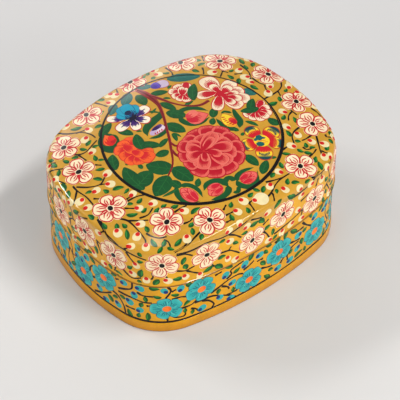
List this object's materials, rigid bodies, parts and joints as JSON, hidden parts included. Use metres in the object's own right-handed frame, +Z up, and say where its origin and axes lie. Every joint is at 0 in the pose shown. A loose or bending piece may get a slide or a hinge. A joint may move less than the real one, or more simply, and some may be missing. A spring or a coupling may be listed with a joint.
{
  "type": "papier mache box",
  "caption": "Low papier mache box with a domed lift-off lid, rounded corners, a collar that locates the lid, and an all-over painted floral skin with a plain foot band.",
  "frame": {"origin": "centre of the underside, on the surface the box stands on", "axes": "+X along the length, +Y along the width away from the viewer's right-hand side, +Z up through the crown of the lid"},
  "size_m": [0.124, 0.1, 0.0588],
  "materials": {
    "pulp": "matte",
    "plain_band": "gloss",
    "base_paint": "gloss",
    "lid_paint": "gloss",
    "black_lacquer": "satin"
  },
  "bodies": {
    "base": {"base_floor": "pulp", "base_wall": "pulp", "foot_band": "plain_band", "base_skin": "base_paint", "base_collar": "black_lacquer", "floor_lining": "black_lacquer"},
    "lid": {"lid_wall": "pulp", "lid_wall_skin": "lid_paint", "lid_top": "pulp", "lid_top_skin": "lid_paint", "lid_lining": "black_lacquer"}
  },
  "joints": [
    {"name": "lid_lift", "type": "slide", "parent": "base", "child": "lid", "axis": [0, 0, 1], "range_m": [0, 0.06]}
  ]
}
